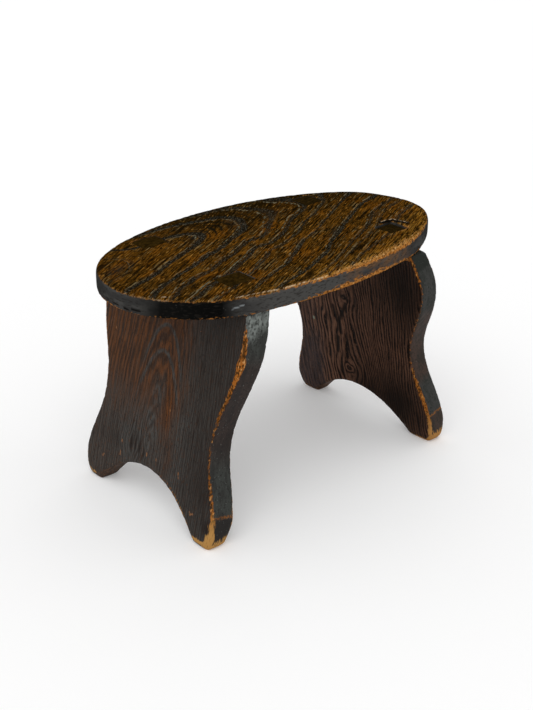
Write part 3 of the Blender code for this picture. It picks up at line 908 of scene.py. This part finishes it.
# damp has bloomed the front and the foot, and left the top and two dry patches red
dry = spots(flat, LEFT_DRY)
bloom = 0.1 + 0.6 * ease(down, 115.0, 175.0) + 0.8 * ease(-across, 10.0, 60.0)
bloom = bloom + 0.85 * arcs + spots(flat, LEFT_BLOOMS) - dry
rust = 1.0 - ease(down, 125.0, 195.0) - ease(-across, 8.0, 62.0) + dry
shade = spots(flat, LEFT_STAINS) + 0.5 * ease(-across, 20.0, 70.0) * (1.0 - sawn)
shade = shade * (1.0 - 0.45 * (1.0 - sawn) * ease(down, 200.0, 235.0))
brown = ease(down, 50.0, 75.0) * (1.0 - ease(down, 150.0, 185.0))
foot, tide = damp_foot(across, down, in_arch, 219.0, 3.0, 0.7)
mark(
    left_end, ring=ring, grain=places, bare=np.maximum(bare, -6.0),
    toe=np.maximum(np.maximum(toe - height, tongue), -20.0),
    hollow=hollow,
    blond=ease(-height, -45.0, -15.0),
    edge=np.where(sawn, 1.0, 0.0),
    bloom=np.clip(bloom, 0.0, 1.0),
    rust=np.clip(rust, 0.0, 1.0),
    shade=np.clip(shade, 0.0, 1.0),
    nick=scratches(places, LEFT_NICKS),
    pale=1.0 - ease(down + 0.7 * through, 38.0, 54.0),
    brown=np.maximum(brown, 0.7 * ease(down, 219.0, 222.0)),
    foot=foot,
    tide=tide,
    grown=1.0 - 0.7 * ease(down, 120.0, 160.0),
)
sink_lines(left_end, ring, LEFT_PITCH, first, sawn)
finish_tenons(left_end, tenon_finish("waxed end grain, left", {
    "ground": "#2e210a", "dark": "#1a1204", "light": "#46320e", "pore": "#0a0702",
}))
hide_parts("leg_left")
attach(left_end, "root")


# ---- Right end ------------------------------------------------------------------------
# The same board at the other end, sawn from a knottier, redder plank, with its two tenons driven up
# through the seat too. It stayed darker, with near-black growth lines down it that swerve round two
# knots, and the seat's shade is painted on its face and sawn edge.

RIGHT_LAY = (96.0, 11.9, 1.8, 1.0)  # as for the left end
RIGHT_THICK = (23.9, 24.4)
RIGHT_PITCH = 5.8
RIGHT_FRONT_WEAR = {
    18: 0.4, 40: 0.6, 100: 0.6, 120: 0.4, 150: 0.6, 165: 0.8, 180: 1.6, 200: 1.7, 215: 1.5,
    228: 2.2, 240: 3,
}
RIGHT_BACK_WEAR = {0: 0.5}
RIGHT_ARCH_WEAR = {-75: 0, 0: -0.4, 35: 0, 45: 0.5, 75: 0.5}
# painted shade under the seat at the top right, two ovals that darken the lower part, and dark spots at
# the knots: across, down, half width and height, strength
RIGHT_SHADE_AND_DARK_SPOTS = [
    (-85, 60, 40, 70, 0.9), (-60, 215, 46, 44, 0.95), (-22, 212, 36, 24, 0.8),
    (-2, 103, 2.2, 2.6, 1), (2, 98, 2, 2.4, 0.9), (8, 98, 3, 6, 0.7), (8, 196, 2.6, 2.6, 1),
]
# dark resin bled out below the upper knot, as (start, end, half width)
RIGHT_RESIN = [
    ((22, 117, 0), (18, 136, 0), 2.4), ((2, 109, 0), (15, 134, 0), 2.4),
    ((16, 136, 0), (15, 150, 0), 3), ((20, 158, 0), (24, 178, 0), 2.6),
    ((67, 152, 0), (56, 177, 0), 0.7),
]
RIGHT_NICKS = [((56, 144, 0), (56, 146, 0), 1)]
RIGHT_KNOTS = [(4, 101, 6, 5, 15), (8, 196, 8, 6.5, 17), (28, 140, 3, 5, 12)]
# knots whose rings close round them: across, down, half width and half height
RIGHT_EYES = [(8, 196, 11, 10), (4, 101, 7, 8)]
BOLD_RING = -11.0  # one ring is nearly black, and beyond it the tree grew slowly
# the same stain on a redder board that stayed dry: dark red-brown, with little grey
RIGHT_PAINTS = {
    "ground": "#472f23", "blush": "#5f4436", "rust": "#835d49", "light": "#6b4a36",
    "dark": "#120a06", "bloom": "#40383a", "slate": "#45403c", "pore": "#0c0806",
    "fleck": "#5a3a26", "nick": "#8fa08c", "sawn": "#3a3a38", "sawn brown": "#42352f",
    "sawn dark": "#232622", "sawn light": "#565a54", "tide line": "#8a5626", "bare": "#8f5622",
    "bare dark": "#33220f", "bare light": "#c8904e", "blond": "#a87a44",
}

right_end = worn_board(
    "right_end", "leg_right", ["seat"], END_MESH,
    end_finish("stained elm, dark and knotty", RIGHT_PAINTS, RIGHT_PITCH, 1.0),
)
across, down, through, height, first, second, arris_across, in_arch, wear, sawn = read_end(
    right_end, RIGHT_LAY, RIGHT_THICK, 0.0, RIGHT_ARCH_WEAR, RIGHT_FRONT_WEAR, RIGHT_BACK_WEAR
)
places = np.stack([across, down, through], 1)
bare = np.maximum(wear - first, np.where(arris_across < 0.0, 0.8, 0.2) - second)
ring = across + 0.35 * through + 2.0 * np.sin(down / 38.0) + swerve(across, down, RIGHT_KNOTS)
# in front of the lower knot the lines lean out towards the foot
ring = ring + 12.0 * ease(down, 105.0, 195.0) * np.exp(-(((across + 16.0) / 26.0) ** 2))
slow = np.minimum(ring - BOLD_RING, 0.0)
ring = ring + 0.6 * slow
for eye_across, eye_down, wide, high in RIGHT_EYES:
    far = np.hypot((across - eye_across) / wide, (down - eye_down) / high)
    near = np.exp(-(far ** 4))
    ring = ring * (1.0 - near) + far * wide * 1.3 * near
toe = 1.5 + 13.5 * ease(-across, 90.0, 97.0) * ease(through, 1.0, 5.0)
grey = 0.3 * ease(across, 30.0, 70.0) + 0.45 * ease(across, 40.0, 60.0) * ease(down, 150.0, 175.0)
bold = 0.9 * np.exp(-(((ring - BOLD_RING) / 1.2) ** 2)) * (1.0 - ease(down, 150.0, 190.0))
resin = (0.9 * scratches(places, RIGHT_RESIN) + bold) * (1.0 - sawn)
shade = spots(places[:, :2], RIGHT_SHADE_AND_DARK_SPOTS) + resin
# the sawn edge is painted dark with the seat's shadow, down to about 36 mm below the seat top
shade = np.where(sawn, 0.9 * (1.0 - ease(down, 34.0, 38.0)), shade)
brown = ease(down, 75.0, 105.0) * (1.0 - ease(down, 170.0, 185.0))
foot, tide = damp_foot(across, down, in_arch, 217.0, 4.0, 0.15)
nowhere = np.zeros(len(down))
mark(
    right_end, ring=ring, grain=places, bare=np.maximum(bare, -6.0),
    toe=np.maximum(toe - height, -20.0),
    hollow=nowhere,
    blond=ease(-height, -45.0, -15.0),
    edge=np.where(sawn, 1.0, 0.0),
    bloom=np.clip(grey, 0.0, 1.0),
    rust=np.clip(0.4 + 0.6 * ease(across, -10.0, 30.0), 0.0, 1.0),
    shade=np.clip(shade, 0.0, 0.95),
    nick=scratches(places, RIGHT_NICKS),
    pale=nowhere,
    brown=np.maximum(brown, ease(down, 217.0, 221.0)),
    foot=foot,
    tide=tide,
    grown=nowhere + 1.0,
)
sink_lines(right_end, ring, RIGHT_PITCH, first, sawn)
finish_tenons(right_end, tenon_finish("waxed end grain, right", {
    "ground": "#261b09", "dark": "#151004", "light": "#3c2b10", "pore": "#0a0702",
}))
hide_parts("leg_right")
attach(right_end, "root")


# ---- Floor, light and camera ----------------------------------------------------------
# A plain white floor that holds the stool's soft shadow, an even white surround and one
# wide soft lamp. Nothing here is part of the stool.

FLOOR_REACH = 6.0  # in metres
FLOOR_LIFT = 0.14  # how much brighter the floor looks to the camera than it is lit

corners = [(-1.0, -1.0), (1.0, -1.0), (1.0, 1.0), (-1.0, 1.0)]
floor_mesh = bpy.data.meshes.new("floor")
reach = [(FLOOR_REACH * x, FLOOR_REACH * y, 0.0) for x, y in corners]
floor_mesh.from_pydata(reach, [], [(0, 1, 2, 3)])
floor = bpy.data.objects.new("floor", floor_mesh)
bpy.context.scene.collection.objects.link(floor)
# matt emulsion paint, rolled: pale and without a shine
floor_paint, floor_tree, floor_shader = new_finish("matt white painted floor", 0.0)
floor_shader.inputs["Base Color"].default_value = linear("#f2f2f2")
floor_shader.inputs["Roughness"].default_value = 1.0
floor_shader.inputs["Emission Color"].default_value = (1.0, 1.0, 1.0, 1.0)
seen = add_node(floor_tree, "ShaderNodeLightPath")
lift = add_node(
    floor_tree, "ShaderNodeMath", {**TIMES, 1: FLOOR_LIFT}, {0: seen.outputs["Is Camera Ray"]}
)
floor_tree.links.new(lift.outputs[0], floor_shader.inputs["Emission Strength"])
floor_mesh.materials.append(floor_paint)

WORLD_LIGHT = 0.8  # how strongly the white surround lights the stool
world = bpy.data.worlds.new("white studio")
bpy.context.scene.world = world
world.use_nodes = True
sky = world.node_tree.nodes["Background"]
sky.inputs["Color"].default_value = (1.0, 1.0, 1.0, 1.0)
path = add_node(world.node_tree, "ShaderNodeLightPath")
shown = path.outputs["Is Camera Ray"]
for ray in ("Is Glossy Ray", "Is Transmission Ray"):
    shown = add_node(
        world.node_tree, "ShaderNodeMath", {"operation": "MAXIMUM"}, {0: shown, 1: path.outputs[ray]}
    )
level = add_node(world.node_tree, "ShaderNodeMapRange", {3: WORLD_LIGHT, 4: 1.0}, {0: shown})
world.node_tree.links.new(level.outputs[0], sky.inputs["Strength"])

LAMP_STRENGTH = 0.7
LAMP_SPREAD = 50.0  # degrees across, which softens its shadows
LAMP_FROM = (-0.55, -0.45, 1.0)
lamp_data = bpy.data.lights.new("softbox", "SUN")
lamp_data.energy = LAMP_STRENGTH
lamp_data.angle = math.radians(LAMP_SPREAD)
lamp = bpy.data.objects.new("softbox", lamp_data)
lamp.rotation_euler = Vector(LAMP_FROM).to_track_quat("Z", "Y").to_euler()
bpy.context.scene.collection.objects.link(lamp)

CAMERA_AZIMUTH = -41.908  # degrees from straight in front, towards the left end
CAMERA_HEIGHT = 25.464  # degrees above level
CAMERA_ROLL = 0.223
CAMERA_DISTANCE = 1.3394  # in metres
LOOK_AT = Vector((-0.00169, -0.00051, 0.12082))
LENS = 65.91  # in mm, on a sensor 36 mm wide

azimuth = math.radians(CAMERA_AZIMUTH)
height = math.radians(CAMERA_HEIGHT)
backwards = Vector(
    (math.sin(azimuth) * math.cos(height), -math.cos(azimuth) * math.cos(height), math.sin(height))
)
camera_data = bpy.data.cameras.new("camera")
camera_data.lens = LENS
camera_data.sensor_width = 36.0
camera = bpy.data.objects.new("camera", camera_data)
camera.location = LOOK_AT + backwards * CAMERA_DISTANCE
turn = backwards.to_track_quat("Z", "Y")
roll = Euler((0.0, 0.0, math.radians(CAMERA_ROLL))).to_quaternion()
camera.rotation_euler = (turn @ roll).to_euler()
bpy.context.scene.collection.objects.link(camera)
bpy.context.scene.camera = camera
bpy.context.scene.view_settings.view_transform = "Standard"
